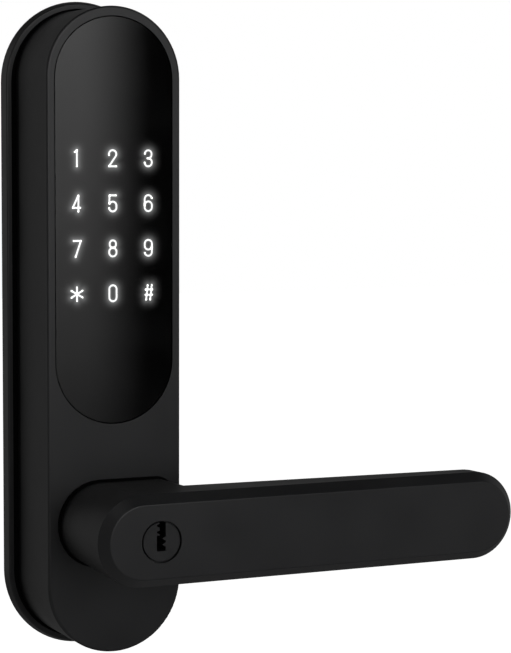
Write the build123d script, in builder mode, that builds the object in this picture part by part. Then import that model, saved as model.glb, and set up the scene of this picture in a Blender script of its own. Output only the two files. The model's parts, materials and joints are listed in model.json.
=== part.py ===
"""Keypad lever lock, outside unit, as an assembly of separate pieces.

The frame: +Z is up, the front looks towards -Y, and the lever points to +X. The origin is on the
lever's turning axis, in the plane of the door face. A depth is a distance off the door, towards -Y.
"""
from build123d import *

import os
from math import asin, atan, cos, degrees, radians, sin, tan

# Housing and back plate
housing_width = 43.9
housing_height = 200.0
housing_below_axis = 40.8
housing_depth = 30.9
housing_wall = 2.5
front_wall = 3.7
front_edge_round = 0.8
plate_side_margin = 3.95
plate_end_margin = 3.0
plate_floor = 2.0
lip_height = 3.2
lip_width = 1.55
lip_draft_degrees = 14.0
lip_edge_round = 0.5

# Door gasket in the rear of the back plate
gasket_width = 2.4
gasket_depth = 1.2
gasket_inset = 2.2
gasket_clearance = 0.1

# Fixing posts, housing screws and cable grommet
post_radius = 4.0
post_reach = 12.0
post_bore_radius = 2.1
post_flange_radius = 6.5
post_flange = 1.5
upper_post_inset = 19.2
lower_post_inset = 10.3
screw_radius = 1.5
screw_head_radius = 2.9
screw_head_depth = 1.5
screw_length = 10.0
cross_length = 3.4
cross_width = 0.8
cross_depth = 1.1
boss_radius = 2.7
boss_inset = 2.0
upper_boss_drop = 9.25
lower_boss_degrees = 43.0
boss_length = 14.0
pilot_clearance = 0.05
grommet_height = 34.0
grommet_radius = 7.0
grommet_flange_radius = 8.4
grommet_flange = 1.2
grommet_bore_radius = 4.0

# Glass panel and the light stack behind it
glass_side_border = 2.65
glass_top_border = 3.1
glass_bottom = 30.9
glass_thickness = 1.8
glass_recess = 0.25
glass_clearance = 0.12
glass_edge_chamfer = 0.25
adhesive_thickness = 0.25
ledge_width = 3.3
mask_clearance = 0.2
diffuser_thickness = 0.3
key_columns = 3
key_rows = 4
key_side_margin = 1.3
key_row_pitch = 13.85
top_row_drop = 43.35
well_width = 6.4
well_height = 8.6
well_rim = 0.6
window_width = 5.4
window_height = 7.4

# Keypad board
board_clearance = 0.55
board_thickness = 1.6
board_standoff = 3.0
board_bottom_inset = 5.1
board_boss_radius = 2.1
board_boss_inset = 2.55
board_boss_rise = 8.0
board_boss_drop = 7.25
board_screw_radius = 0.95
board_screw_head_radius = 1.9
board_screw_head = 1.2
board_screw_grip = 2.4
led_width = 2.8
led_height = 1.4
led_thickness = 0.8
chip_size = 9.0
chip_thickness = 1.3
chip_drop = 42.25
buzzer_radius = 6.0
buzzer_thickness = 4.0
buzzer_drop = 21.25
connector_width = 12.0
connector_height = 5.0
connector_depth = 4.5
connector_rise = 16.0

# Lever handle
lever_stand_off = 37.6
lever_height = 27.7
lever_tip = 122.5
lever_heel = 19.05
heel_thickness = 23.2
tip_thickness = 13.6
lever_draft_degrees = 1.5
shoulder_depth = 3.3
shoulder_drop = 2.7
lever_rear_round = 4.0
lever_edge_round = 0.5
neck_right = 19.4
neck_corner = 5.9
neck_gap = 1.0
face_lip = 1.3

# Shaft, bush and bearing
running_clearance = 0.05
shaft_radius = 8.95
shaft_bore_radius = 7.5
shaft_neck_bore_radius = 5.0
shaft_grip = 12.1
shaft_rear = 4.2
bush_radius = 11.0
bush_flange_radius = 12.3
bush_flange = 0.8
bush_projection = 2.2
circlip_thickness = 0.8
circlip_width = 2.4
circlip_groove = 0.8
end_play = 0.1
grub_radius = 2.0
shaft_grub_rise = 5.1
cylinder_grub_rise = 17.1
grub_recess = 1.2
grub_socket_radius = 1.15
grub_socket_depth = 1.4
hex_sides = 6

# Mechanism plate with the lever's stops and return spring
mechanism_rear = 6.0
mechanism_thickness = 2.0
mechanism_side_gap = 2.25
mechanism_top = 22.0
mechanism_bottom_inset = 13.8
mechanism_corner = 3.0
mechanism_boss_radius = 2.5
mechanism_boss_inset = 2.9
mechanism_boss_drop = 5.0
mechanism_boss_rise = 6.4
plate_screw_radius = 1.2
plate_screw_head_radius = 2.2
plate_screw_head = 1.3
plate_screw_grip = 8.0
stop_clearance = 0.5
stop_pin_radius = 1.5
stop_gap = 0.3
lever_travel_degrees = 50.0
lug_width = 5.0
lug_thickness = 4.0
spring_clearance = 0.35
spring_wire = 2.0

# Clutch between the lever and the square spindle
collar_radius = 12.0
collar_rear = 12.0
collar_length = 8.0
pin_radius = 1.5
pin_rest_gap = 0.25
pin_projection = 3.0
clutch_travel = 2.5
pin_end_gap = 0.35
slider_width = 10.0
slider_gap = 0.15
slider_height = 6.8
slider_cap = 1.0
bracket_wall = 1.5
bracket_foot = 1.5
bracket_gap = 2.0
bracket_top_gap = 0.5
motor_radius = 5.0
motor_end_gap = 1.35
screw_shaft_radius = 1.5
screw_end_gap = 1.35
hub_front = 29.0
hub_rear = 9.6
hub_web = 2.5
hub_pocket_radius = 4.2
snap_ring_width = 1.25
snap_ring_thickness = 1.1
spindle_side = 8.0
spindle_reach = 38.0
spindle_chamfer = 1.0
plate_spindle_hole = 9.0

# Key cylinder
plug_radius = 5.9
plug_front_recess = 0.2
plug_length = 23.8
plug_hole_gap = 0.5
plug_edge = 0.15
cylinder_length = 20.8
clip_thickness = 1.0
clip_width = 2.1
clip_groove = 0.8
keyway_depth = 19.0
keyway_right = 1.3
keyway_slot_left = -0.7
keyway_wide_left = -1.55
keyway_bottom = -2.8
keyway_step = 1.9
ward_heights = (-0.9, 0.9)
ward_reach = 1.1
ward_half = 0.65
tooth_heights = (2.85, 4.85)
tooth_reach = 0.8
tooth_half = 0.55
tooth_tip_half = 0.25
tumbler_count = 5
tumbler_pitch = 3.0
tumbler_inset = 16.5
tumbler_radius = 1.2
tumbler_key_side = 2.0
shear_gap = 0.1
tail_disc_radius = 4.6
tail_disc = 1.2
tail_width = 7.0
tail_thickness = 2.0
tail_end_gap = 0.5

# Places worked out from the sizes above
housing_half = housing_width / 2
housing_mid = housing_height / 2 - housing_below_axis
housing_top = housing_height - housing_below_axis
cavity_half = housing_half - housing_wall
cavity_front = housing_depth - front_wall
cavity_bottom = housing_wall - housing_below_axis
top_arc_height = housing_top - housing_half
bottom_arc_height = housing_half - housing_below_axis
upper_post_height = housing_top - upper_post_inset
lower_post_height = lower_post_inset - housing_below_axis
boss_reach = cavity_half - boss_inset
upper_boss_height = top_arc_height - upper_boss_drop
lower_boss_offset = boss_reach * cos(radians(lower_boss_degrees))
lower_boss_height = bottom_arc_height - boss_reach * sin(radians(lower_boss_degrees))
plate_width = housing_width + 2 * plate_side_margin
plate_height = housing_height + 2 * plate_end_margin
lip_inset = lip_height * tan(radians(lip_draft_degrees)) + lip_width
glass_width = housing_width - 2 * glass_side_border
glass_top = housing_top - glass_top_border
glass_height = glass_top - glass_bottom
glass_mid = (glass_top + glass_bottom) / 2
glass_front = housing_depth - glass_recess
glass_rear = glass_front - glass_thickness
ledge_front = glass_rear - adhesive_thickness
diffuser_rear = ledge_front - diffuser_thickness
board_front = cavity_front - board_standoff
board_rear = board_front - board_thickness
board_half = cavity_half - board_clearance
board_bottom = glass_bottom + board_bottom_inset
board_boss_offset = cavity_half - board_boss_inset
board_boss_low = board_bottom + board_boss_rise
board_boss_high = top_arc_height - board_boss_drop
chip_height = top_arc_height - chip_drop
buzzer_height = top_arc_height - buzzer_drop
connector_height_middle = board_bottom + connector_rise
mask_inset = ledge_width + mask_clearance
mask_width = glass_width - 2 * mask_inset
key_pitch_x = (mask_width - window_width - 2 * key_side_margin) / (key_columns - 1)
keypad_mid = glass_top - top_row_drop - (key_rows - 1) * key_row_pitch / 2
barrier_width = (key_columns - 1) * key_pitch_x + well_width + 2 * well_rim
barrier_height = (key_rows - 1) * key_row_pitch + well_height + 2 * well_rim
bush_rear = cavity_front - bush_projection
neck_rear = housing_depth + neck_gap
lever_front = housing_depth + lever_stand_off
shaft_front = neck_rear + shaft_grip
grub_depths = (neck_rear + shaft_grub_rise, neck_rear + cylinder_grub_rise)
lever_half = lever_height / 2
lever_middle = (lever_tip - lever_heel) / 2
lever_rim = lever_front - shoulder_depth
heel_rear = lever_front - heel_thickness
tip_rear = lever_front - tip_thickness
shoulder_degrees = degrees(atan(shoulder_drop / shoulder_depth))
neck_half = lever_half - (lever_rim - neck_rear) * tan(radians(lever_draft_degrees))
bore_radius = shaft_radius + running_clearance
bore_front = lever_front - face_lip
mechanism_front = mechanism_rear + mechanism_thickness
mechanism_width = 2 * (cavity_half - mechanism_side_gap)
mechanism_bottom = housing_below_axis - mechanism_bottom_inset
mechanism_boss_offset = mechanism_width / 2 - mechanism_boss_inset
mechanism_boss_high = mechanism_top - mechanism_boss_drop
mechanism_boss_low = mechanism_boss_rise - mechanism_bottom
circlip_front = mechanism_rear - end_play
snap_ring_front = hub_rear - end_play
collar_front = collar_rear + collar_length
pin_depth = collar_rear + collar_length / 2
stop_radius = collar_radius + stop_pin_radius + stop_clearance
lug_reach = stop_radius + stop_pin_radius
stop_angle = degrees(asin((lug_width / 2 + stop_pin_radius + stop_gap) / stop_radius))
pin_inner = shaft_bore_radius + pin_rest_gap
pin_outer = collar_radius + pin_projection
pin_pocket_floor = pin_inner - clutch_travel - pin_end_gap
slider_top = -pin_outer - slider_gap
slider_bottom = slider_top - slider_height
bracket_foot_top = slider_bottom - bracket_gap
motor_top = bracket_foot_top - bracket_foot
screw_shaft_top = slider_top - slider_cap - screw_end_gap
hub_socket_floor = hub_front - hub_web
tail_end = hub_socket_floor + tail_end_gap
plug_front = lever_front - plug_front_recess
plug_rear = plug_front - plug_length
cylinder_rear = bore_front - cylinder_length
tumbler_first = lever_front - tumbler_inset
plug_bore_radius = plug_radius + running_clearance
clip_front = cylinder_rear - end_play
hub_radius = shaft_bore_radius - running_clearance

board_posts = [(side * board_boss_offset, z) for side in (-1, 1)
               for z in (board_boss_low, board_boss_high)]
mechanism_posts = [(side * mechanism_boss_offset, z) for side in (-1, 1)
                   for z in (mechanism_boss_low, mechanism_boss_high)]
housing_bosses = [(side * x, z) for side in (-1, 1)
                  for x, z in ((boss_reach, upper_boss_height),
                               (lower_boss_offset, lower_boss_height))]
fixing_posts = [(0, upper_post_height), (0, lower_post_height)]
tumbler_depths = [tumbler_first + i * tumbler_pitch for i in range(tumbler_count)]


def rod(radius, near, far, places=((0, 0),), mode=Mode.ADD):
    """Round bars along the lever axis, from the depth near to the depth far, at (x, z) places."""
    spots = [Location((x, -near, z), (90, 0, 0)) for x, z in places]
    with Locations(*spots):
        Cylinder(radius, far - near, align=(Align.CENTER, Align.CENTER, Align.MIN), mode=mode)


def upright(radius, low, high, x=0, depth=0, mode=Mode.ADD):
    """A round bar that stands along Z, between two heights."""
    with Locations((x, -depth, low)):
        Cylinder(radius, high - low, align=(Align.CENTER, Align.CENTER, Align.MIN), mode=mode)


def slot(width, height, middle):
    """An upright slot with round ends, as a sketch in the plane of the door."""
    with Locations((0, middle)):
        SlotOverall(height, width, rotation=90)


# Back plate: a tray with a drafted lip round it, and a dark channel inside the lip
with BuildPart() as back_plate:
    with BuildSketch(Plane.XZ):
        slot(plate_width, plate_height, housing_mid)
    extrude(amount=lip_height, taper=lip_draft_degrees)
    fillet(back_plate.faces().sort_by(Axis.Y)[0].edges(), lip_edge_round)
    with BuildSketch(Plane.XZ.offset(plate_floor)):
        slot(plate_width - 2 * lip_inset, plate_height - 2 * lip_inset, housing_mid)
    extrude(amount=lip_height, mode=Mode.SUBTRACT)
    with BuildSketch(Plane.XZ):
        slot(plate_width - 2 * gasket_inset, plate_height - 2 * gasket_inset, housing_mid)
        with Locations((0, housing_mid)):
            SlotOverall(plate_height - 2 * gasket_inset - 2 * gasket_width,
                        plate_width - 2 * gasket_inset - 2 * gasket_width, rotation=90, mode=Mode.SUBTRACT)
    extrude(amount=gasket_depth, mode=Mode.SUBTRACT)
    rod(plate_spindle_hole, 0, plate_floor, mode=Mode.SUBTRACT)
    rod(grommet_radius, 0, plate_floor, [(0, grommet_height)], mode=Mode.SUBTRACT)
    rod(post_radius, 0, plate_floor, fixing_posts, mode=Mode.SUBTRACT)
    rod(screw_radius + pilot_clearance, 0, plate_floor, housing_bosses, mode=Mode.SUBTRACT)
    with Locations(*[Location((x, 0, z), (90, 0, 0)) for x, z in housing_bosses]):
        Cone(screw_head_radius, screw_radius + pilot_clearance, screw_head_depth,
             align=(Align.CENTER, Align.CENTER, Align.MIN), mode=Mode.SUBTRACT)

with BuildPart() as door_gasket:
    inset = gasket_inset + gasket_clearance
    with BuildSketch(Plane.XZ):
        slot(plate_width - 2 * inset, plate_height - 2 * inset, housing_mid)
        with Locations((0, housing_mid)):
            SlotOverall(plate_height - 2 * (gasket_inset + gasket_width - gasket_clearance),
                        plate_width - 2 * (gasket_inset + gasket_width - gasket_clearance),
                        rotation=90, mode=Mode.SUBTRACT)
    extrude(amount=gasket_depth)

with BuildPart() as cable_grommet:
    rod(grommet_radius - pilot_clearance, 0, plate_floor, [(0, grommet_height)])
    rod(grommet_flange_radius, plate_floor, plate_floor + grommet_flange, [(0, grommet_height)])
    rod(grommet_bore_radius, 0, plate_floor + grommet_flange, [(0, grommet_height)], mode=Mode.SUBTRACT)

with BuildPart() as fixing_post_pair:
    rod(post_radius - pilot_clearance, -post_reach, plate_floor, fixing_posts)
    rod(post_flange_radius, plate_floor, plate_floor + post_flange, fixing_posts)
    rod(post_bore_radius, -post_reach, plate_floor, fixing_posts, mode=Mode.SUBTRACT)

with BuildPart() as housing_screws:
    rod(screw_radius, 0, screw_length, housing_bosses)
    with Locations(*[Location((x, 0, z), (90, 0, 0)) for x, z in housing_bosses]):
        Cone(screw_head_radius - pilot_clearance, screw_radius, screw_head_depth - pilot_clearance,
             align=(Align.CENTER, Align.CENTER, Align.MIN))
    with BuildSketch(Plane.XZ):
        with Locations(*housing_bosses):
            Rectangle(cross_length, cross_width)
            Rectangle(cross_width, cross_length)
    extrude(amount=cross_depth, mode=Mode.SUBTRACT)

# Housing: a deep shell, open at the back, with the glass ledge and all the screw bosses
with BuildPart() as housing_shell:
    with BuildSketch(Plane.XZ.offset(plate_floor)):
        slot(housing_width, housing_height, housing_mid)
    extrude(amount=housing_depth - plate_floor)
    fillet(housing_shell.faces().sort_by(Axis.Y)[0].edges(), front_edge_round)
    with BuildSketch(Plane.XZ.offset(plate_floor)):
        slot(2 * cavity_half, housing_height - 2 * housing_wall, housing_mid)
    extrude(amount=cavity_front - plate_floor, mode=Mode.SUBTRACT)
    with BuildSketch(Plane.XZ.offset(ledge_front)):
        slot(glass_width + 2 * glass_clearance, glass_height + 2 * glass_clearance, glass_mid)
    extrude(amount=front_wall, mode=Mode.SUBTRACT)
    with BuildSketch(Plane.XZ.offset(cavity_front)):
        slot(glass_width - 2 * ledge_width, glass_height - 2 * ledge_width, glass_mid)
    extrude(amount=front_wall, mode=Mode.SUBTRACT)
    rod(board_boss_radius, board_front, cavity_front, board_posts)
    rod(mechanism_boss_radius, mechanism_front, cavity_front, mechanism_posts)
    rod(boss_radius, plate_floor, plate_floor + boss_length, housing_bosses)
    rod(board_screw_radius + pilot_clearance, board_front, board_front + board_screw_grip,
        board_posts, mode=Mode.SUBTRACT)
    rod(plate_screw_radius + pilot_clearance, mechanism_front, mechanism_front + plate_screw_grip,
        mechanism_posts, mode=Mode.SUBTRACT)
    rod(screw_radius + pilot_clearance, plate_floor, screw_length + pilot_clearance,
        housing_bosses, mode=Mode.SUBTRACT)
    rod(bush_radius + pilot_clearance, cavity_front, housing_depth, mode=Mode.SUBTRACT)

# Glass, its adhesive frame and the light stack, from the front inwards
with BuildPart() as glass_panel:
    with BuildSketch(Plane.XZ.offset(glass_rear)):
        slot(glass_width, glass_height, glass_mid)
    extrude(amount=glass_thickness)
    chamfer(glass_panel.faces().sort_by(Axis.Y)[0].edges(), glass_edge_chamfer)

with BuildPart() as glass_adhesive:
    with BuildSketch(Plane.XZ.offset(ledge_front)):
        slot(glass_width, glass_height, glass_mid)
        with Locations((0, glass_mid)):
            SlotOverall(glass_height - 2 * ledge_width, glass_width - 2 * ledge_width,
                        rotation=90, mode=Mode.SUBTRACT)
    extrude(amount=adhesive_thickness)

with BuildPart() as legend_mask:
    with BuildSketch(Plane.XZ.offset(ledge_front)):
        slot(mask_width, glass_height - 2 * mask_inset, glass_mid)
        with Locations((0, keypad_mid)):
            with GridLocations(key_pitch_x, key_row_pitch, key_columns, key_rows):
                Rectangle(window_width, window_height, mode=Mode.SUBTRACT)
    extrude(amount=adhesive_thickness)

with BuildPart() as diffuser_sheet:
    with BuildSketch(Plane.XZ.offset(diffuser_rear)):
        with Locations((0, keypad_mid)):
            Rectangle(barrier_width, barrier_height)
    extrude(amount=diffuser_thickness)

with BuildPart() as light_barrier:
    with BuildSketch(Plane.XZ.offset(board_front)):
        with Locations((0, keypad_mid)):
            Rectangle(barrier_width, barrier_height)
            with GridLocations(key_pitch_x, key_row_pitch, key_columns, key_rows):
                Rectangle(well_width, well_height, mode=Mode.SUBTRACT)
    extrude(amount=diffuser_rear - board_front)

with BuildPart() as keypad_leds:
    with BuildSketch(Plane.XZ.offset(board_front)):
        with Locations((0, keypad_mid)):
            with GridLocations(key_pitch_x, key_row_pitch, key_columns, key_rows):
                Rectangle(led_width, led_height)
    extrude(amount=led_thickness)

# Keypad board and what is soldered to its back
with BuildPart() as keypad_board:
    with BuildSketch(Plane.XZ.offset(board_rear)):
        with Locations((0, board_bottom)):
            Rectangle(2 * board_half, top_arc_height - board_bottom, align=(Align.CENTER, Align.MIN))
        with Locations((0, top_arc_height)):
            Circle(board_half)
    extrude(amount=board_thickness)
    rod(board_screw_radius + pilot_clearance, board_rear, board_front, board_posts, mode=Mode.SUBTRACT)

with BuildPart() as board_screws:
    rod(board_screw_radius, board_rear, board_front + board_screw_grip - pilot_clearance, board_posts)
    rod(board_screw_head_radius, board_rear - board_screw_head, board_rear, board_posts)

with BuildPart() as processor_chip:
    with BuildSketch(Plane.XZ.offset(board_rear - chip_thickness)):
        with Locations((0, chip_height)):
            Rectangle(chip_size, chip_size)
    extrude(amount=chip_thickness)

with BuildPart() as buzzer:
    rod(buzzer_radius, board_rear - buzzer_thickness, board_rear, [(0, buzzer_height)])

with BuildPart() as board_connector:
    with BuildSketch(Plane.XZ.offset(board_rear - connector_depth)):
        with Locations((0, connector_height_middle)):
            Rectangle(connector_width, connector_height)
    extrude(amount=connector_depth)

# Mechanism plate, with the two pins that stop the lever
with BuildPart() as mechanism_plate:
    with BuildSketch(Plane.XZ.offset(mechanism_rear)):
        with Locations((0, (mechanism_top - mechanism_bottom) / 2)):
            RectangleRounded(mechanism_width, mechanism_top + mechanism_bottom, mechanism_corner)
    extrude(amount=mechanism_thickness)
    rod(shaft_radius + running_clearance, mechanism_rear, mechanism_front, mode=Mode.SUBTRACT)
    rod(plate_screw_radius + pilot_clearance, mechanism_rear, mechanism_front, mechanism_posts,
        mode=Mode.SUBTRACT)

with BuildPart() as plate_screws:
    rod(plate_screw_radius, mechanism_rear, mechanism_front + plate_screw_grip - pilot_clearance,
        mechanism_posts)
    rod(plate_screw_head_radius, mechanism_rear - plate_screw_head, mechanism_rear, mechanism_posts)

with BuildPart() as stop_pins:
    stop_places = [Vector(0, stop_radius).rotate(Axis.Z, -angle)
                   for angle in (-stop_angle, lever_travel_degrees + stop_angle)]
    rod(stop_pin_radius, mechanism_front, collar_rear + lug_thickness, [(p.X, p.Y) for p in stop_places])

with BuildPart() as lever_bush:
    rod(bush_radius, bush_rear, housing_depth)
    rod(bush_flange_radius, housing_depth, housing_depth + bush_flange)
    rod(bore_radius, bush_rear, housing_depth + bush_flange, mode=Mode.SUBTRACT)

with BuildPart() as return_spring:
    rod(shaft_radius + spring_clearance + spring_wire, collar_front + spring_clearance, bush_rear)
    rod(shaft_radius + spring_clearance, collar_front + spring_clearance, bush_rear, mode=Mode.SUBTRACT)

# Clutch drive: a small motor, its screw, and the slider that lifts the clutch pin
with BuildPart() as clutch_bracket:
    wall_place = slider_width / 2 + running_clearance + bracket_wall / 2
    wall_top = -pin_outer - bracket_top_gap
    with BuildSketch(Plane.XZ.offset(mechanism_front)):
        with Locations((-wall_place, motor_top), (wall_place, motor_top)):
            Rectangle(bracket_wall, wall_top - motor_top, align=(Align.CENTER, Align.MIN))
        with Locations((0, motor_top)):
            Rectangle(2 * wall_place, bracket_foot, align=(Align.CENTER, Align.MIN))
    extrude(amount=collar_front - mechanism_front)
    upright(screw_shaft_radius + running_clearance, motor_top, bracket_foot_top, depth=pin_depth,
            mode=Mode.SUBTRACT)

with BuildPart() as clutch_motor:
    upright(motor_radius, cavity_bottom + motor_end_gap, motor_top, depth=pin_depth)

with BuildPart() as motor_screw:
    upright(screw_shaft_radius, motor_top + end_play, screw_shaft_top, depth=pin_depth)

with BuildPart() as clutch_slider:
    with BuildSketch(Plane.XZ.offset(collar_rear)):
        with Locations((0, slider_bottom)):
            Rectangle(slider_width, slider_height, align=(Align.CENTER, Align.MIN))
    extrude(amount=collar_length)
    upright(screw_shaft_radius + running_clearance, slider_bottom, slider_top - slider_cap, depth=pin_depth,
            mode=Mode.SUBTRACT)


# Lever handle: a bar with round ends, thinner to its tip, and a neck of the same casting behind its heel
with BuildPart() as lever_handle:
    behind_rim = Plane((0, -lever_rim, 0), x_dir=(1, 0, 0), z_dir=(0, 1, 0))
    with BuildSketch(behind_rim):
        with Locations((lever_middle, 0)):
            SlotOverall(lever_heel + lever_tip, lever_height)
    extrude(amount=lever_rim - heel_rear, taper=lever_draft_degrees)
    with BuildSketch(Plane.XY):
        Polygon((-lever_heel, -heel_rear), (lever_tip, -tip_rear), (lever_tip, -heel_rear), align=None)
    extrude(amount=lever_half, both=True, mode=Mode.SUBTRACT)
    fillet(lever_handle.faces().sort_by(Axis.Y)[-1].edges(), lever_rear_round)
    with BuildSketch(behind_rim):
        SlotOverall(2 * lever_heel, lever_height)
        with Locations(((neck_right - neck_corner) / 2, 0)):
            RectangleRounded(neck_right + neck_corner, lever_height, neck_corner)
    extrude(amount=lever_rim - neck_rear, taper=lever_draft_degrees)
    with BuildSketch(Plane.XZ.offset(lever_rim)):
        with Locations((lever_middle, 0)):
            SlotOverall(lever_heel + lever_tip, lever_height)
    extrude(amount=shoulder_depth, taper=shoulder_degrees)
    fillet(lever_handle.faces().sort_by(Axis.Y)[0].edges(), lever_edge_round)
    rod(bore_radius, neck_rear, bore_front, mode=Mode.SUBTRACT)
    rod(plug_radius + plug_hole_gap, bore_front, lever_front, mode=Mode.SUBTRACT)
    for depth in grub_depths:
        upright(grub_radius + pilot_clearance, -lever_half, -shaft_radius, depth=depth,
                mode=Mode.SUBTRACT)

with BuildPart() as grub_screws:
    grub_end = grub_recess - neck_half
    for depth in grub_depths:
        upright(grub_radius, grub_end, -bore_radius, depth=depth)
    with BuildSketch(Plane.XY.offset(grub_end)):
        with Locations(*[(0, -depth) for depth in grub_depths]):
            RegularPolygon(grub_socket_radius, side_count=hex_sides)
    extrude(amount=grub_socket_depth, mode=Mode.SUBTRACT)

with BuildPart() as lever_shaft:
    rod(shaft_radius, shaft_rear, shaft_front)
    rod(shaft_bore_radius, shaft_rear, hub_front + end_play, mode=Mode.SUBTRACT)
    rod(shaft_neck_bore_radius, hub_front, shaft_front, mode=Mode.SUBTRACT)
    upright(pin_radius + running_clearance, -shaft_radius, 0, depth=pin_depth, mode=Mode.SUBTRACT)
    with BuildSketch(Plane.XZ.offset(circlip_front - circlip_thickness)):
        Circle(shaft_radius)
        Circle(shaft_radius - circlip_groove, mode=Mode.SUBTRACT)
    extrude(amount=circlip_thickness, mode=Mode.SUBTRACT)

with BuildPart() as shaft_circlip:
    clip_inner = shaft_radius - circlip_groove + pilot_clearance
    rod(clip_inner + circlip_width, circlip_front - circlip_thickness, circlip_front)
    rod(clip_inner, circlip_front - circlip_thickness, circlip_front, mode=Mode.SUBTRACT)

with BuildPart() as clutch_collar:
    rod(collar_radius, collar_rear, collar_front)
    with BuildSketch(Plane.XZ.offset(collar_rear)):
        Rectangle(lug_width, lug_reach, align=(Align.CENTER, Align.MIN))
    extrude(amount=lug_thickness)
    rod(shaft_radius + pilot_clearance, collar_rear, collar_front, mode=Mode.SUBTRACT)
    upright(pin_radius + running_clearance, -collar_radius, 0, depth=pin_depth, mode=Mode.SUBTRACT)

with BuildPart() as clutch_pin:
    upright(pin_radius, -pin_outer, -pin_inner, depth=pin_depth)

# Driven side of the clutch: hub and square spindle
with BuildPart() as clutch_hub:
    rod(hub_radius, hub_rear, hub_front)
    rod(hub_pocket_radius, hub_socket_floor, hub_front, mode=Mode.SUBTRACT)
    with BuildSketch(Plane.XZ.offset(hub_rear)):
        Rectangle(spindle_side + 2 * pilot_clearance, spindle_side + 2 * pilot_clearance)
    extrude(amount=hub_socket_floor - hub_rear, mode=Mode.SUBTRACT)
    upright(pin_radius + running_clearance, -hub_radius, -pin_pocket_floor, depth=pin_depth,
            mode=Mode.SUBTRACT)

with BuildPart() as hub_snap_ring:
    rod(hub_radius, snap_ring_front - snap_ring_thickness, snap_ring_front)
    rod(hub_radius - snap_ring_width, snap_ring_front - snap_ring_thickness, snap_ring_front,
        mode=Mode.SUBTRACT)

with BuildPart() as spindle:
    with BuildSketch(Plane.XZ.offset(-spindle_reach)):
        Rectangle(spindle_side, spindle_side)
    extrude(amount=spindle_reach + hub_socket_floor - end_play)
    chamfer(spindle.faces().sort_by(Axis.Y)[-1].edges(), spindle_chamfer)

# Key cylinder: body fixed in the lever, plug turning in it
with BuildPart() as cylinder_body:
    rod(shaft_radius, cylinder_rear, bore_front)
    rod(plug_bore_radius, cylinder_rear, bore_front, mode=Mode.SUBTRACT)
    with Locations(*[Location((0, -depth, 0), (0, -90, 0)) for depth in tumbler_depths]):
        Cylinder(tumbler_radius + pilot_clearance, shaft_radius,
                 align=(Align.CENTER, Align.CENTER, Align.MIN), mode=Mode.SUBTRACT)

with BuildPart() as driver_pins:
    driver_start = -plug_bore_radius - shear_gap
    with Locations(*[Location((driver_start, -depth, 0), (0, -90, 0)) for depth in tumbler_depths]):
        Cylinder(tumbler_radius, shaft_radius - plug_bore_radius - 2 * shear_gap,
                 align=(Align.CENTER, Align.CENTER, Align.MIN))

with BuildPart() as key_plug:
    rod(plug_radius, plug_rear, plug_front)
    chamfer(key_plug.faces().sort_by(Axis.Y)[0].edges(), plug_edge)
    with BuildSketch(Plane.XZ.offset(plug_front - keyway_depth)):
        corner = (Align.MIN, Align.MIN)
        with Locations((keyway_slot_left, keyway_bottom)):
            Rectangle(keyway_right - keyway_slot_left, plug_radius - keyway_bottom, align=corner)
        with Locations((keyway_wide_left, keyway_bottom)):
            Rectangle(keyway_right - keyway_wide_left, keyway_step - keyway_bottom, align=corner)
        with Locations(*[(keyway_slot_left, z) for z in tooth_heights]):
            Polygon((0, tooth_half), (-tooth_reach, tooth_tip_half), (-tooth_reach, -tooth_tip_half),
                    (0, -tooth_half), align=None)
        with Locations(*[(keyway_right, z) for z in ward_heights]):
            Polygon((0, ward_half), (-ward_reach, 0), (0, -ward_half), align=None, mode=Mode.SUBTRACT)
    extrude(amount=keyway_depth, mode=Mode.SUBTRACT)
    with Locations(*[Location((-tumbler_key_side, -depth, 0), (0, -90, 0)) for depth in tumbler_depths]):
        Cylinder(tumbler_radius + pilot_clearance, plug_radius,
                 align=(Align.CENTER, Align.CENTER, Align.MIN), mode=Mode.SUBTRACT)
    with BuildSketch(Plane.XZ.offset(clip_front - clip_thickness)):
        Circle(plug_radius)
        Circle(plug_radius - clip_groove, mode=Mode.SUBTRACT)
    extrude(amount=clip_thickness, mode=Mode.SUBTRACT)

with BuildPart() as key_pins:
    with Locations(*[Location((-tumbler_key_side, -depth, 0), (0, -90, 0)) for depth in tumbler_depths]):
        Cylinder(tumbler_radius, plug_radius - tumbler_key_side - shear_gap,
                 align=(Align.CENTER, Align.CENTER, Align.MIN))

with BuildPart() as plug_clip:
    ring_inner = plug_radius - clip_groove + pilot_clearance
    rod(ring_inner + clip_width, clip_front - clip_thickness, clip_front)
    rod(ring_inner, clip_front - clip_thickness, clip_front, mode=Mode.SUBTRACT)

with BuildPart() as plug_tailpiece:
    rod(tail_disc_radius, plug_rear - tail_disc, plug_rear)
    with BuildSketch(Plane.XZ.offset(tail_end)):
        Rectangle(tail_thickness, tail_width)
    extrude(amount=plug_rear - tail_disc - tail_end)

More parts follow.
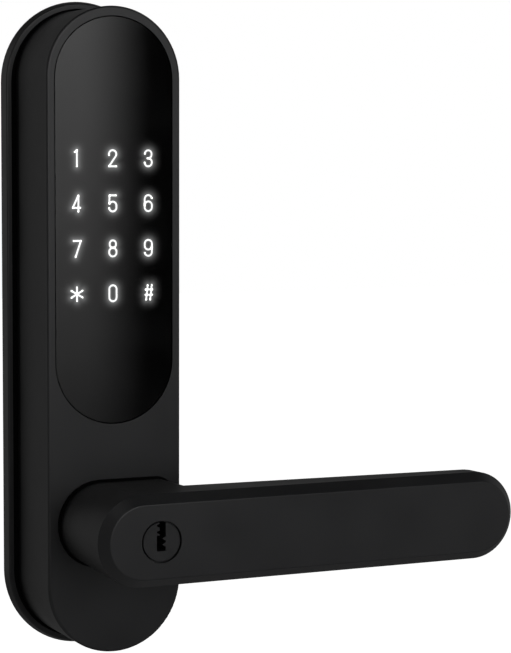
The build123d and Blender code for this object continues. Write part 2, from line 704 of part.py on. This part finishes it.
pieces = {
    "back_plate": back_plate,
    "door_gasket": door_gasket,
    "cable_grommet": cable_grommet,
    "fixing_posts": fixing_post_pair,
    "housing_screws": housing_screws,
    "housing_shell": housing_shell,
    "glass_panel": glass_panel,
    "glass_adhesive": glass_adhesive,
    "legend_mask": legend_mask,
    "diffuser_sheet": diffuser_sheet,
    "light_barrier": light_barrier,
    "keypad_leds": keypad_leds,
    "keypad_board": keypad_board,
    "board_screws": board_screws,
    "processor_chip": processor_chip,
    "buzzer": buzzer,
    "board_connector": board_connector,
    "mechanism_plate": mechanism_plate,
    "plate_screws": plate_screws,
    "stop_pins": stop_pins,
    "lever_bush": lever_bush,
    "return_spring": return_spring,
    "clutch_bracket": clutch_bracket,
    "clutch_motor": clutch_motor,
    "motor_screw": motor_screw,
    "clutch_slider": clutch_slider,
    "lever_handle": lever_handle,
    "grub_screws": grub_screws,
    "lever_shaft": lever_shaft,
    "shaft_circlip": shaft_circlip,
    "clutch_collar": clutch_collar,
    "clutch_pin": clutch_pin,
    "clutch_hub": clutch_hub,
    "hub_snap_ring": hub_snap_ring,
    "spindle": spindle,
    "cylinder_body": cylinder_body,
    "driver_pins": driver_pins,
    "key_plug": key_plug,
    "key_pins": key_pins,
    "plug_clip": plug_clip,
    "plug_tailpiece": plug_tailpiece,
}
os.makedirs("parts", exist_ok=True)
for name, piece in pieces.items():
    piece.part.label = name
    export_step(piece.part, f"parts/{name}.step")
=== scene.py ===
"""Looks of the keypad lever lock: its finishes, lit key legends, black foam trim that paints shade into two
gaps, studio light and camera.
"""
import bpy
import bmesh
import json
import math
from mathutils import Matrix, Vector
from mathutils.bvhtree import BVHTree


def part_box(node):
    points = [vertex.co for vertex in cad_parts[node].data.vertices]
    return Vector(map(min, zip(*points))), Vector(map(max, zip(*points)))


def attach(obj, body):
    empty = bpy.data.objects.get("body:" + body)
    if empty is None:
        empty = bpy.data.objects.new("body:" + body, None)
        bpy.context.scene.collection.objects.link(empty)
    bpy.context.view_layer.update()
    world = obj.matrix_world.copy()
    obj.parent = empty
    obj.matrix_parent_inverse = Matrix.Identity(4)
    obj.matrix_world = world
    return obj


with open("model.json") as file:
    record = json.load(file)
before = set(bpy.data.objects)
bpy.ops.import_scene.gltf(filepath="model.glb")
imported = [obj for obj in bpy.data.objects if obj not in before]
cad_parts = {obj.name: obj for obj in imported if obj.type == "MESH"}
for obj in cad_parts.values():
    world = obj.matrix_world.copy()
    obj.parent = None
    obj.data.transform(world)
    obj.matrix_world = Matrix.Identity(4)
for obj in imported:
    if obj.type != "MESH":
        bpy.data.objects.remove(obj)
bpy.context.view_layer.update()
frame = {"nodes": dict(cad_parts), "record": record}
MM = 0.001

# Camera that was fitted to the photograph, with its angles in degrees
PHOTO_HEIGHT_PX = 653
FOCAL_PX = 2172.58
SENSOR_MM = 36.0
CAMERA_AZIMUTH = -25.254
CAMERA_ELEVATION = 4.522
CAMERA_ROLL = 0.165
CAMERA_DISTANCE = 702.718 * MM
CAMERA_TARGET = Vector((53.18, -20.0, 58.56)) * MM
CAMERA_CLIP = (0.01, 100.0)

# Finishes: the stretch of noise over which patches change, and a grain's depth as a share of its width
PATCH_RANGE = (0.35, 0.65)
GRAIN_DEPTH = 0.1

# Glass with its wiped marks, and the lamps' bright spots behind the legends
GLASS_IOR = 1.52
WIPE_MARK = 14 * MM
WIPE_RANGE = (0.4, 0.7)
WIPE_ROUGHNESS = (0.01, 0.03)
KEY_SPOT = 3 * MM
KEY_SPOT_RANGE = (0.3, 0.7)
LEGEND_LEVEL = (3.5, 4.2)

# Touch keys, counted from the top left
KEYS_ACROSS = 3
KEY_PITCH = (11.8 * MM, 13.85 * MM)
KEY_TOP = 112.75 * MM

# Print in the rear face of the glass, the round pen that draws the legends, and the glow round them
PRINT_THICKNESS = 0.02 * MM
PRINT_INSET = 0.03 * MM
REARWARD = 0.99
PEN = 0.54 * MM
PEN_STEP = 12.0
PEN_SEGMENTS = 20
WELD = PEN / 100
GLOW_LEVEL = 0.6
GLOW_FADE = 1.0 * MM
GLOW_REACH = 3.6 * MM
GLOW_CELL = (11 * MM, 13 * MM)
GLOW_GRID = (28, 34)

# Each stroke of a legend: start x and z in mm from the key's middle, heading in degrees from right to up,
# then its moves: a length in mm straight on, or a radius in mm with a turn in degrees, left turns positive
LEGENDS = {
    "1": [(0.1, -2.47, 90, [4.94]), (0.1, 2.4, 218, [0.85])],
    "2": [(-1.2, 0.97, 90, [0.3, (1.2, -215.6), 3.74]), (-1.2, -2.47, 0, [2.4])],
    "3": [(-1.1, 1.37, 90, [(1.1, -180), 0.27, (1.1, -90), 0.3]),
          (-0.3, 0.0, 0, [0.3, (1.2, -90), 0.07, (1.2, -180)])],
    "4": [(0.55, -2.47, 90, [4.94]), (0.55, 2.47, 243.7, [4.17]), (-1.3, -1.27, 0, [2.45])],
    "5": [(1.05, 2.47, 180, [2.1]), (-1.05, 2.47, 267.7, [2.52]),
          (-1.04, -0.07, 60, [(1.2, -150), 0.6, (1.2, -173)])],
    "6": [(1.18, 1.5, 101, [(1.2, 169), 2.54, (1.2, 180), 0.6, (1.2, 180)])],
    "7": [(-1.05, 2.47, 0, [2.35]), (1.3, 2.47, 250.8, [5.23])],
    "8": [(1.03, 1.2, 90, [0.24, (1.03, 180), 0.24, (1.03, 180)]),
          (1.2, -1.27, 90, [0.24, (1.2, 180), 0.24, (1.2, 180)])],
    "9": [(-1.18, -1.5, 281, [(1.2, 169), 2.54, (1.2, 180), 0.6, (1.2, 180)])],
    "star": [(0, -2.1, 90, [4.2]), (-1.82, -1.05, 30, [4.2]), (-1.82, 1.05, -30, [4.2])],
    "0": [(1.2, -1.27, 90, [2.54, (1.2, 180), 2.54, (1.2, 180)])],
    "hash": [(-0.75, -2.3, 83.2, [4.63]), (0.6, -2.3, 83.2, [4.63]), (-0.95, 0.9, 0, [2.3]),
             (-1.05, -0.75, 0, [2.3])],
}

# Black foam ring in the channel between the back plate's lip and the housing, a painted shade: it darkens
# the channel as its shadow would
CHANNEL_SHADE_GAP = 0.1 * MM
CHANNEL_SHADE_THICKNESS = 0.6 * MM
CHANNEL_SHADE_WIDTH = 1.4 * MM
CHANNEL_SHADE_SEGMENTS = 128

# Black foam ring between the lever's neck and the housing, a painted shade: it darkens the neck's foot as
# its contact shadow would
NECK_SHADE_WIDTH = 1.2 * MM
NECK_SHADE_MARGIN = 0.7 * MM
NECK_SHADE_CORNER = 5.0 * MM
NECK_SHADE_LAP = 0.05 * MM
NECK_SHADE_CLEARANCE = 0.2 * MM

# Studio, in metres and as a share of white: its floor, its walls, and the softbox in the front wall
WORLD_LEVEL = 0.08
FLOOR_REACH = 6.0
FLOOR_HEIGHT = -0.35
LEFT, RIGHT = -1.2, 1.2
FRONT, BACK = -0.494, 1.2
FOOT, CEILING, WALL_TOP = -0.34, 1.1, 1.26
SOFTBOX_LEFT, SOFTBOX_RIGHT, SOFTBOX_TOP = -0.2, 0.32, 0.45
SOFTBOX_FADE = (-0.08, 0.35)
SOFTBOX_LEVEL = (0.06, 2.3)
SOFTBOX_EDGE = (0.162, 0.206)
SOFTBOX_DARK = 0.02

# Paler patches: a strip at the rear of the left wall, one beside the lock, and one under the ceiling
STRIP_FRONT = 0.7
SIDE_PLANE, SIDE_FRONT, SIDE_BACK = -1.19, -0.15, 0.35
CROWN_LEFT, CROWN_RIGHT, CROWN_FRONT, CROWN_BACK, CROWN_PLANE = -0.9, -0.3, -0.49, -0.19, 1.09

# Cloths that the lock mirrors instead of the white room: glow as a share of white, and two opposite corners
CLOTHS = {
    "fill_cloth": (0.3, (SOFTBOX_RIGHT, FRONT, FOOT), (RIGHT, FRONT, SOFTBOX_TOP)),
    "over_softbox": (0.03, (SOFTBOX_LEFT, FRONT, SOFTBOX_TOP), (RIGHT, FRONT, WALL_TOP)),
    "front_cloth": (0.125, (LEFT, FRONT, FOOT), (SOFTBOX_LEFT, FRONT, WALL_TOP)),
    "back_cloth": (0.125, (LEFT, BACK, FOOT), (RIGHT, BACK, WALL_TOP)),
    "side_cloth": (0.22, (SIDE_PLANE, SIDE_FRONT, FOOT), (SIDE_PLANE, SIDE_BACK, WALL_TOP)),
    "left_cloth": (0.03, (LEFT, FRONT, FOOT), (LEFT, STRIP_FRONT, WALL_TOP)),
    "left_strip": (0.85, (LEFT, STRIP_FRONT, FOOT), (LEFT, BACK, WALL_TOP)),
    "right_cloth": (0.2, (RIGHT, FRONT, FOOT), (RIGHT, BACK, WALL_TOP)),
    "crown_strip": (0.6, (CROWN_LEFT, CROWN_FRONT, CROWN_PLANE), (CROWN_RIGHT, CROWN_BACK, CROWN_PLANE)),
    "top_cloth": (0.03, (LEFT, FRONT, CEILING), (RIGHT, BACK, CEILING)),
    "floor_cloth": (0.12, (LEFT, FRONT, FOOT), (RIGHT, BACK, FOOT)),
}

# Lamps: where each stands, the spot that it faces, and its power in watts
LAMP_SIZE = 0.5
LAMPS = {
    "front_lamp": ((0.155, -0.929, 0.04), (0.03, -0.04, 0.07), 6.3),
    "rear_lamp": ((0.35, 0.9, 0.06), (0.0, 0.0, 0.06), 14.0),
}


def linear(code, alpha=1.0):
    """An sRGB hex colour as linear values."""
    parts = [int(code[i:i + 2], 16) / 255 for i in (1, 3, 5)]
    return [c / 12.92 if c <= 0.04045 else ((c + 0.055) / 1.055) ** 2.4 for c in parts] + [alpha]


def add(tree, kind, inputs=None, **settings):
    """Adds a node. Settings are its properties, and inputs are values or other nodes' sockets."""
    made = tree.nodes.new(kind)
    for name, value in settings.items():
        setattr(made, name, value)
    for name, value in (inputs or {}).items():
        if isinstance(value, bpy.types.NodeSocket):
            tree.links.new(value, made.inputs[name])
        else:
            made.inputs[name].default_value = value
    return made


def material(name):
    """An empty node material, with its tree and output."""
    made = bpy.data.materials.new(name)
    made.use_nodes = True
    made.node_tree.nodes.clear()
    return made, made.node_tree, add(made.node_tree, "ShaderNodeOutputMaterial")


def speckled(name, dark, light, patch_mm, rough, grain_mm, bump, sockets=None):
    """A finish with faint patches of tone and roughness, and a fine grain that bends the light."""
    made, tree, out = material(name)
    place = add(tree, "ShaderNodeTexCoord").outputs["Object"]
    patch = add(tree, "ShaderNodeTexNoise", {"Vector": place, "Scale": 1 / (patch_mm * MM), "Detail": 3.0})
    tone = add(tree, "ShaderNodeValToRGB", {"Fac": patch.outputs["Fac"]})
    for stop, position, colour in zip(tone.color_ramp.elements, PATCH_RANGE, (dark, light)):
        stop.position = position
        stop.color = linear(colour)
    dull = add(tree, "ShaderNodeMapRange", {"Value": patch.outputs["Fac"],
                                            "From Min": PATCH_RANGE[0], "From Max": PATCH_RANGE[1],
                                            "To Min": rough[0], "To Max": rough[1]})
    grain = add(tree, "ShaderNodeTexNoise", {"Vector": place, "Scale": 1 / (grain_mm * MM), "Detail": 2.0})
    relief = add(tree, "ShaderNodeBump", {"Height": grain.outputs["Fac"], "Strength": bump,
                                          "Distance": grain_mm * MM * GRAIN_DEPTH})
    shader = add(tree, "ShaderNodeBsdfPrincipled", {"Base Color": tone.outputs["Color"],
                                                    "Roughness": dull.outputs["Result"],
                                                    "Normal": relief.outputs["Normal"], **(sockets or {})})
    tree.links.new(shader.outputs["BSDF"], out.inputs["Surface"])
    return made


# Semi-matt powder coat: an even charcoal black with broad, soft highlights. Its grain is drawn coarser than
# the real one, so that it shows
powder_coat = speckled("powder_coat", dark="#121213", light="#151516", patch_mm=18, rough=(0.40, 0.46),
                       grain_mm=0.7, bump=0.05, sockets={"Specular IOR Level": 0.6})
# Black-plated brass: the same black as the coat, turned a little finer
plated_plug = speckled("black_plated_brass", dark="#121213", light="#151516", patch_mm=3, rough=(0.38, 0.44),
                       grain_mm=0.5, bump=0.04, sockets={"Specular IOR Level": 0.6})
# Nitrile rubber: a dull, deep black with hardly any highlight
rubber = speckled("nitrile_rubber", dark="#0b0b0b", light="#101010", patch_mm=4, rough=(0.75, 0.85),
                  grain_mm=0.5, bump=0.2)
# Zinc-plated steel: a cool grey metal that blurs what it mirrors
steel = speckled("zinc_plated_steel", dark="#a4a7aa", light="#b6b9bb", patch_mm=5, rough=(0.30, 0.40),
                 grain_mm=0.3, bump=0.1, sockets={"Metallic": 0.6})
# Turned brass: a warm yellow metal, softly polished
brass = speckled("turned_brass", dark="#b08d49", light="#c09b55", patch_mm=5, rough=(0.25, 0.35),
                 grain_mm=0.3, bump=0.1, sockets={"Metallic": 1.0})
# Black acetal: a dark moulded plastic with a low sheen
acetal = speckled("black_acetal", dark="#0e0e0f", light="#131314", patch_mm=6, rough=(0.45, 0.6),
                  grain_mm=0.4, bump=0.1)
# Milky polycarbonate: a white plastic with an even, soft surface
milky = speckled("milky_polycarbonate", dark="#dcdcd8", light="#e6e6e2", patch_mm=6, rough=(0.4, 0.5),
                 grain_mm=0.4, bump=0.05)
# Solder mask on a circuit board: dark green with a slight gloss
board = speckled("solder_masked_board", dark="#123a20", light="#174828", patch_mm=6, rough=(0.35, 0.45),
                 grain_mm=0.3, bump=0.1)
# Screen ink behind the glass: no sheen of its own, so that the glass in front stays deep black
ink = speckled("black_screen_ink", dark="#020202", light="#040404", patch_mm=6, rough=(0.55, 0.65),
               grain_mm=0.3, bump=0.03, sockets={"Specular IOR Level": 0.0})
# Black foam for painted shade: it swallows the light, so that the gaps it fills read as black lines of
# shadow
shade_foam = speckled("black_foam_painted_shade", dark="#030303", light="#050505", patch_mm=4, rough=(0.85, 0.95),
                grain_mm=0.6, bump=0.2, sockets={"Specular IOR Level": 0.05})


def smoked_glass():
    """Toughened smoked glass: a sharp reflection on black, with a faint haze of wiped finger marks."""
    made, tree, out = material("smoked_glass")
    place = add(tree, "ShaderNodeTexCoord").outputs["Object"]
    wipe = add(tree, "ShaderNodeTexNoise", {"Vector": place, "Scale": 1 / WIPE_MARK, "Detail": 4.0})
    haze = add(tree, "ShaderNodeMapRange", {"Value": wipe.outputs["Fac"],
                                            "From Min": WIPE_RANGE[0], "From Max": WIPE_RANGE[1],
                                            "To Min": WIPE_ROUGHNESS[0], "To Max": WIPE_ROUGHNESS[1]})
    shader = add(tree, "ShaderNodeBsdfPrincipled", {"Base Color": linear("#555656"), "IOR": GLASS_IOR,
                                                    "Transmission Weight": 1.0,
                                                    "Roughness": haze.outputs["Result"]})
    tree.links.new(shader.outputs["BSDF"], out.inputs["Surface"])
    return made


def backlit_polycarbonate():
    """Milky plastic lit white in spots from behind, brighter than white because the smoked glass dims it."""
    made, tree, out = material("backlit_polycarbonate")
    place = add(tree, "ShaderNodeTexCoord").outputs["Object"]
    spot = add(tree, "ShaderNodeTexNoise", {"Vector": place, "Scale": 1 / KEY_SPOT})
    level = add(tree, "ShaderNodeMapRange", {"Value": spot.outputs["Fac"],
                                             "From Min": KEY_SPOT_RANGE[0], "From Max": KEY_SPOT_RANGE[1],
                                             "To Min": LEGEND_LEVEL[0], "To Max": LEGEND_LEVEL[1]})
    shader = add(tree, "ShaderNodeBsdfPrincipled", {"Base Color": linear("#e6e6e2"), "Roughness": 0.5,
                                                    "Specular IOR Level": 0.0,
                                                    "Emission Color": linear("#ffffff"),
                                                    "Emission Strength": level.outputs["Result"]})
    tree.links.new(shader.outputs["BSDF"], out.inputs["Surface"])
    made.cycles.emission_sampling = "NONE"
    return made


def backlit_ink():
    """Black screen ink close to a legend, where stray light from behind glows through it."""
    made, tree, out = material("backlit_ink")
    glow = add(tree, "ShaderNodeAttribute", attribute_name="glow")
    shader = add(tree, "ShaderNodeBsdfPrincipled", {"Base Color": linear("#060606"), "Roughness": 0.6,
                                                    "Specular IOR Level": 0.0,
                                                    "Emission Color": linear("#ffffff"),
                                                    "Emission Strength": glow.outputs["Fac"]})
    tree.links.new(shader.outputs["BSDF"], out.inputs["Surface"])
    made.cycles.emission_sampling = "NONE"
    return made


finishes = {
    "black_coat": powder_coat,
    "black_plug": plated_plug,
    "black_rubber": rubber,
    "steel": steel,
    "brass": brass,
    "dark_plastic": acetal,
    "light_plastic": milky,
    "green_board": board,
    "panel_glass": smoked_glass(),
}
for part in frame["record"]["subparts"]:
    mesh = frame["nodes"][part["node"]].data
    mesh.materials.clear()
    mesh.materials.append(finishes[part["material_slot"]])


def mesh_object(name, shape, finish):
    """Makes a finished bmesh an object of the scene."""
    data = bpy.data.meshes.new(name)
    shape.to_mesh(data)
    shape.free()
    made = bpy.data.objects.new(name, data)
    bpy.context.scene.collection.objects.link(made)
    data.materials.append(finish)
    return made


def piece(name, shape, finish, body):
    """Makes a finished bmesh a piece of the lock, carried by a body."""
    made = mesh_object(name, shape, finish)
    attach(made, body)


def corners(geometry):
    """The vertices among what an operator made."""
    return [v for v in geometry if isinstance(v, bmesh.types.BMVert)]


def draw_stroke(shape, start, heading, moves, pen=PEN):
    """Drags the pen's edge along one upright stroke. Its ends are round, unless they meet."""
    place = start.copy()
    ahead = Vector((math.cos(math.radians(heading)), 0, math.sin(math.radians(heading))))
    across = Vector((-ahead.z, 0, ahead.x)) * pen / 2
    same_place = pen / 20
    tip = shape.edges.new([shape.verts.new(place + across), shape.verts.new(place - across)])
    for move in moves:
        if isinstance(move, tuple):
            radius, turn = move[0] * MM, math.radians(move[1])
            middle = place + Vector((-ahead.z, 0, ahead.x)) * math.copysign(radius, turn)
            swept = bmesh.ops.spin(shape, geom=[tip, *tip.verts], cent=middle, axis=(0, -1, 0), angle=turn,
                                   steps=math.ceil(abs(move[1]) / PEN_STEP))["geom_last"]
            about = Matrix.Rotation(turn, 3, (0, -1, 0))
            place = middle + about @ (place - middle)
            ahead = about @ ahead
        else:
            swept = bmesh.ops.extrude_edge_only(shape, edges=[tip])["geom"]
            bmesh.ops.translate(shape, vec=ahead * move * MM, verts=corners(swept))
            place = place + ahead * move * MM
        tip = [e for e in swept if isinstance(e, bmesh.types.BMEdge)
               and (e.verts[0].co + e.verts[1].co - 2 * place).length < same_place][0]
    if (place - start).length < same_place:
        return
    for end in (start, place):
        bmesh.ops.create_circle(shape, cap_ends=True, segments=PEN_SEGMENTS, radius=pen / 2,
                                matrix=Matrix.Translation(end) @ Matrix.Rotation(math.pi / 2, 4, "X"))


def thicken(shape, depth):
    """Gives a flat upright shape its thickness, towards the rear, or towards the front if it is negative."""
    bmesh.ops.remove_doubles(shape, verts=shape.verts, dist=WELD)
    grown = bmesh.ops.extrude_face_region(shape, geom=shape.faces[:])["geom"]
    bmesh.ops.translate(shape, vec=(0, depth, 0), verts=corners(grown))
    bmesh.ops.recalc_face_normals(shape, faces=shape.faces)


def key_middle(number, depth):
    """The middle of a touch key, at a depth."""
    row, column = divmod(number, KEYS_ACROSS)
    return Vector(((column - (KEYS_ACROSS - 1) / 2) * KEY_PITCH[0], depth, KEY_TOP - row * KEY_PITCH[1]))


def make_print(rear, depth):
    """Black print over the whole rear face of the glass, a hair inside its edge."""
    behind = bmesh.new()
    behind.from_mesh(frame["nodes"]["glass_panel"].data)
    bmesh.ops.remove_doubles(behind, verts=behind.verts, dist=PRINT_INSET / 100)
    flat = {f for f in behind.faces
            if f.normal.y > REARWARD and f.calc_center_median().y > rear - PRINT_INSET}
    bmesh.ops.delete(behind, geom=[f for f in behind.faces if f not in flat], context="FACES")
    bmesh.ops.dissolve_faces(behind, faces=behind.faces[:])
    bmesh.ops.inset_region(behind, faces=behind.faces[:], thickness=PRINT_INSET, use_boundary=True)
    rim = [f for f in behind.faces if any(e.is_boundary for e in f.edges)]
    bmesh.ops.delete(behind, geom=rim, context="FACES")
    bmesh.ops.translate(behind, vec=(0, depth - rear, 0), verts=behind.verts)
    thicken(behind, PRINT_THICKNESS)
    piece("glass_print", behind, ink, "housing")


def make_glow(legends, depth):
    """A fine grid round each legend, that holds how much light comes through the print there."""
    halo = bmesh.new()
    # A grid of size 0.5 is one unit wide, so the cell's own size scales it
    for number in range(len(LEGENDS)):
        upright = Matrix.Translation(key_middle(number, depth)) @ Matrix.Rotation(math.pi / 2, 4, "X")
        bmesh.ops.create_grid(halo, x_segments=GLOW_GRID[0], y_segments=GLOW_GRID[1], size=0.5,
                              matrix=upright @ Matrix.Diagonal((*GLOW_CELL, 1, 1)))
    strokes = BVHTree.FromBMesh(legends)
    glow = halo.verts.layers.float.new("glow")
    for vert in halo.verts:
        distance = strokes.find_nearest(vert.co)[3]
        vert[glow] = GLOW_LEVEL * math.exp(-distance / GLOW_FADE) * max(0.0, 1 - distance / GLOW_REACH)
    piece("legend_glow", halo, backlit_ink(), "housing")


def make_keypad():
    """Black print behind the glass, and the twelve lit legends on it with the glow round them."""
    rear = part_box("glass_panel")[1].y
    print_face = rear - 2 * PRINT_INSET
    make_print(rear, print_face)
    legends = bmesh.new()
    for number, strokes in enumerate(LEGENDS.values()):
        middle = key_middle(number, print_face - PRINT_THICKNESS)
        for x, z, heading, moves in strokes:
            draw_stroke(legends, middle + Vector((x, 0, z)) * MM, heading, moves)
    make_glow(legends, print_face - PRINT_THICKNESS / 2)
    thicken(legends, PRINT_THICKNESS / 4)
    piece("key_legends", legends, backlit_polycarbonate(), "housing")


make_keypad()


def make_channel_shade():
    """Painted shade: a flat ring of black foam in the channel round the housing, which reads as the
    channel's shadow.
    """
    low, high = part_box("housing_shell")
    width = high.x - low.x
    inner = width / 2 + CHANNEL_SHADE_GAP
    straight = high.z - low.z - width
    middle = Vector((0, high.y - CHANNEL_SHADE_GAP, low.z + width / 2))
    # Half a step of turn keeps all points off the level at which the ring is pulled apart
    upright = Matrix.Rotation(math.pi / 2, 4, "X") @ Matrix.Rotation(math.pi / CHANNEL_SHADE_SEGMENTS, 4, "Z")
    ring = bmesh.new()
    for radius in (inner, inner + CHANNEL_SHADE_WIDTH):
        bmesh.ops.create_circle(ring, segments=CHANNEL_SHADE_SEGMENTS, radius=radius, matrix=upright)
    bmesh.ops.translate(ring, vec=(0, 0, straight), verts=[v for v in ring.verts if v.co.z > 0])
    bmesh.ops.translate(ring, vec=middle, verts=ring.verts)
    bmesh.ops.bridge_loops(ring, edges=ring.edges[:])
    thicken(ring, -CHANNEL_SHADE_THICKNESS)
    piece("channel_shade_ring", ring, shade_foam, "housing")


make_channel_shade()


def make_neck_shade():
    """Painted shade: a black foam ring that rims the foot of the lever's neck, just off the housing, and
    reads as its contact shadow.
    """
    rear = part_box("lever_handle")[1].y
    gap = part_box("housing_shell")[0].y - rear
    foot = [v.co for v in frame["nodes"]["lever_handle"].data.vertices if v.co.y > rear - NECK_SHADE_LAP]
    left, right = min(p.x for p in foot), max(p.x for p in foot)
    half = max(p.z for p in foot)
    # The pen's line lies this far outside the foot's outline, which is a half circle and two corners
    outside = NECK_SHADE_MARGIN - NECK_SHADE_WIDTH / 2
    start = Vector((left + half, rear - NECK_SHADE_LAP, half + outside))
    end_bend = ((half + outside) / MM, 180)
    corner_bend = ((NECK_SHADE_CORNER + outside) / MM, 90)
    long_run = (right - NECK_SHADE_CORNER - left - half) / MM
    short_run = 2 * (half - NECK_SHADE_CORNER) / MM
    neck_shade_loop = bmesh.new()
    draw_stroke(neck_shade_loop, start, 180, [end_bend, long_run, corner_bend, short_run, corner_bend, long_run],
                pen=NECK_SHADE_WIDTH)
    thicken(neck_shade_loop, gap + NECK_SHADE_LAP - NECK_SHADE_CLEARANCE)
    piece("neck_shade_ring", neck_shade_loop, shade_foam, "lever")


make_neck_shade()


def place_camera():
    """The photograph's viewpoint: a long lens, a little above and to the left of the lock."""
    azimuth, elevation, roll = (math.radians(a) for a in (CAMERA_AZIMUTH, CAMERA_ELEVATION, CAMERA_ROLL))
    back = Vector((math.sin(azimuth) * math.cos(elevation), -math.cos(azimuth) * math.cos(elevation),
                   math.sin(elevation)))
    level = Vector((math.cos(azimuth), math.sin(azimuth), 0))
    upright = back.cross(level)
    right = level * math.cos(roll) + upright * math.sin(roll)
    up = upright * math.cos(roll) - level * math.sin(roll)
    lens = bpy.data.cameras.new("camera")
    lens.sensor_width = SENSOR_MM
    lens.lens = FOCAL_PX * SENSOR_MM / PHOTO_HEIGHT_PX
    lens.clip_start, lens.clip_end = CAMERA_CLIP
    camera = bpy.data.objects.new("camera", lens)
    turn = Matrix((right, up, back)).transposed().to_4x4()
    camera.matrix_world = Matrix.Translation(CAMERA_TARGET + back * CAMERA_DISTANCE) @ turn
    bpy.context.scene.collection.objects.link(camera)
    bpy.context.scene.camera = camera


place_camera()


def seen_directly(tree):
    """1 for rays from the camera, a reflection or through glass, 0 for the light that falls on things."""
    path = add(tree, "ShaderNodeLightPath")
    seen = add(tree, "ShaderNodeMath", {0: path.outputs["Is Camera Ray"], 1: path.outputs["Is Glossy Ray"]},
               operation="MAXIMUM")
    seen = add(tree, "ShaderNodeMath", {0: seen.outputs[0], 1: path.outputs["Is Transmission Ray"]},
               operation="MAXIMUM")
    return seen.outputs[0]


def light_world():
    """A white room, that lights the lock at a plain level."""
    world = bpy.data.worlds.new("studio")
    bpy.context.scene.world = world
    world.use_nodes = True
    tree = world.node_tree
    tree.nodes.clear()
    strength = add(tree, "ShaderNodeMapRange", {"Value": seen_directly(tree),
                                                "To Min": WORLD_LEVEL, "To Max": 1.0})
    sky = add(tree, "ShaderNodeBackground", {"Color": linear("#ffffff"),
                                             "Strength": strength.outputs["Result"]})
    out = add(tree, "ShaderNodeOutputWorld")
    tree.links.new(sky.outputs["Background"], out.inputs["Surface"])


def pale_paper():
    """Matt white paper, which shows white and still takes a shadow."""
    made, tree, out = material("pale_paper")
    matt = add(tree, "ShaderNodeBsdfDiffuse", {"Color": linear("#e8e8e6")})
    shown = add(tree, "ShaderNodeEmission", {"Color": linear("#ffffff"), "Strength": seen_directly(tree)})
    both = add(tree, "ShaderNodeAddShader", {0: matt.outputs["BSDF"], 1: shown.outputs["Emission"]})
    tree.links.new(both.outputs["Shader"], out.inputs["Surface"])
    return made


def softbox_cloth():
    """The front softbox: bright at its top, fading towards the floor, and feathered off on its right."""
    made, tree, out = material("softbox_cloth")
    place = add(tree, "ShaderNodeSeparateXYZ", {0: add(tree, "ShaderNodeTexCoord").outputs["Object"]})
    fade = add(tree, "ShaderNodeMapRange", {"Value": place.outputs["Z"],
                                            "From Min": SOFTBOX_FADE[0], "From Max": SOFTBOX_FADE[1],
                                            "To Min": SOFTBOX_LEVEL[0], "To Max": SOFTBOX_LEVEL[1]})
    level = add(tree, "ShaderNodeMapRange", {"Value": place.outputs["X"],
                                             "From Min": SOFTBOX_EDGE[0], "From Max": SOFTBOX_EDGE[1],
                                             "To Min": fade.outputs["Result"], "To Max": SOFTBOX_DARK},
                interpolation_type="SMOOTHSTEP")
    glow = add(tree, "ShaderNodeEmission", {"Color": linear("#ffffff"), "Strength": level.outputs["Result"]})
    tree.links.new(glow.outputs["Emission"], out.inputs["Surface"])
    return made


def plain_cloth(name, level):
    """A cloth with an even glow."""
    made, tree, out = material(name)
    glow = add(tree, "ShaderNodeEmission", {"Color": linear("#ffffff"), "Strength": level})
    tree.links.new(glow.outputs["Emission"], out.inputs["Surface"])
    return made


def stage_card(name, finish, low, high):
    """A flat card of the studio between two opposite corners, which isn't part of the lock."""
    low, high = Vector(low), Vector(high)
    across, up = (span.copy() for span in Matrix.Diagonal(high - low) if span.length)
    shape = bmesh.new()
    edge = shape.edges.new([shape.verts.new(low), shape.verts.new(low + across)])
    pulled = bmesh.ops.extrude_edge_only(shape, edges=[edge])["geom"]
    bmesh.ops.translate(shape, vec=up, verts=corners(pulled))
    card = mesh_object(name, shape, finish)
    return card


def soft_lamp(name, place, aim, power):
    """A square lamp that looks at a spot, and shows neither to the camera nor in a reflection."""
    lamp = bpy.data.lights.new(name, "AREA")
    lamp.size = LAMP_SIZE
    lamp.energy = power
    made = bpy.data.objects.new(name, lamp)
    facing = (Vector(aim) - Vector(place)).to_track_quat("-Z", "Y")
    made.matrix_world = Matrix.Translation(place) @ facing.to_matrix().to_4x4()
    made.visible_camera = False
    made.visible_glossy = False
    bpy.context.scene.collection.objects.link(made)


def build_studio():
    """Plain pale floor, a softbox in front, cloths that only the lock's gloss sees, and two lamps."""
    light_world()
    stage_card("floor", pale_paper(), (-FLOOR_REACH, -FLOOR_REACH, FLOOR_HEIGHT),
               (FLOOR_REACH, FLOOR_REACH, FLOOR_HEIGHT))
    cards = [stage_card("softbox", softbox_cloth(), (SOFTBOX_LEFT, FRONT, FOOT),
                        (SOFTBOX_RIGHT, FRONT, SOFTBOX_TOP))]
    for name, (level, low, high) in CLOTHS.items():
        cards.append(stage_card(name, plain_cloth(name, level), low, high))
    for card in cards:
        card.visible_camera = False
        card.visible_diffuse = False
        card.visible_shadow = False
    for name, (place, aim, power) in LAMPS.items():
        soft_lamp(name, place, aim, power)


build_studio()
bpy.context.scene.view_settings.view_transform = "Standard"
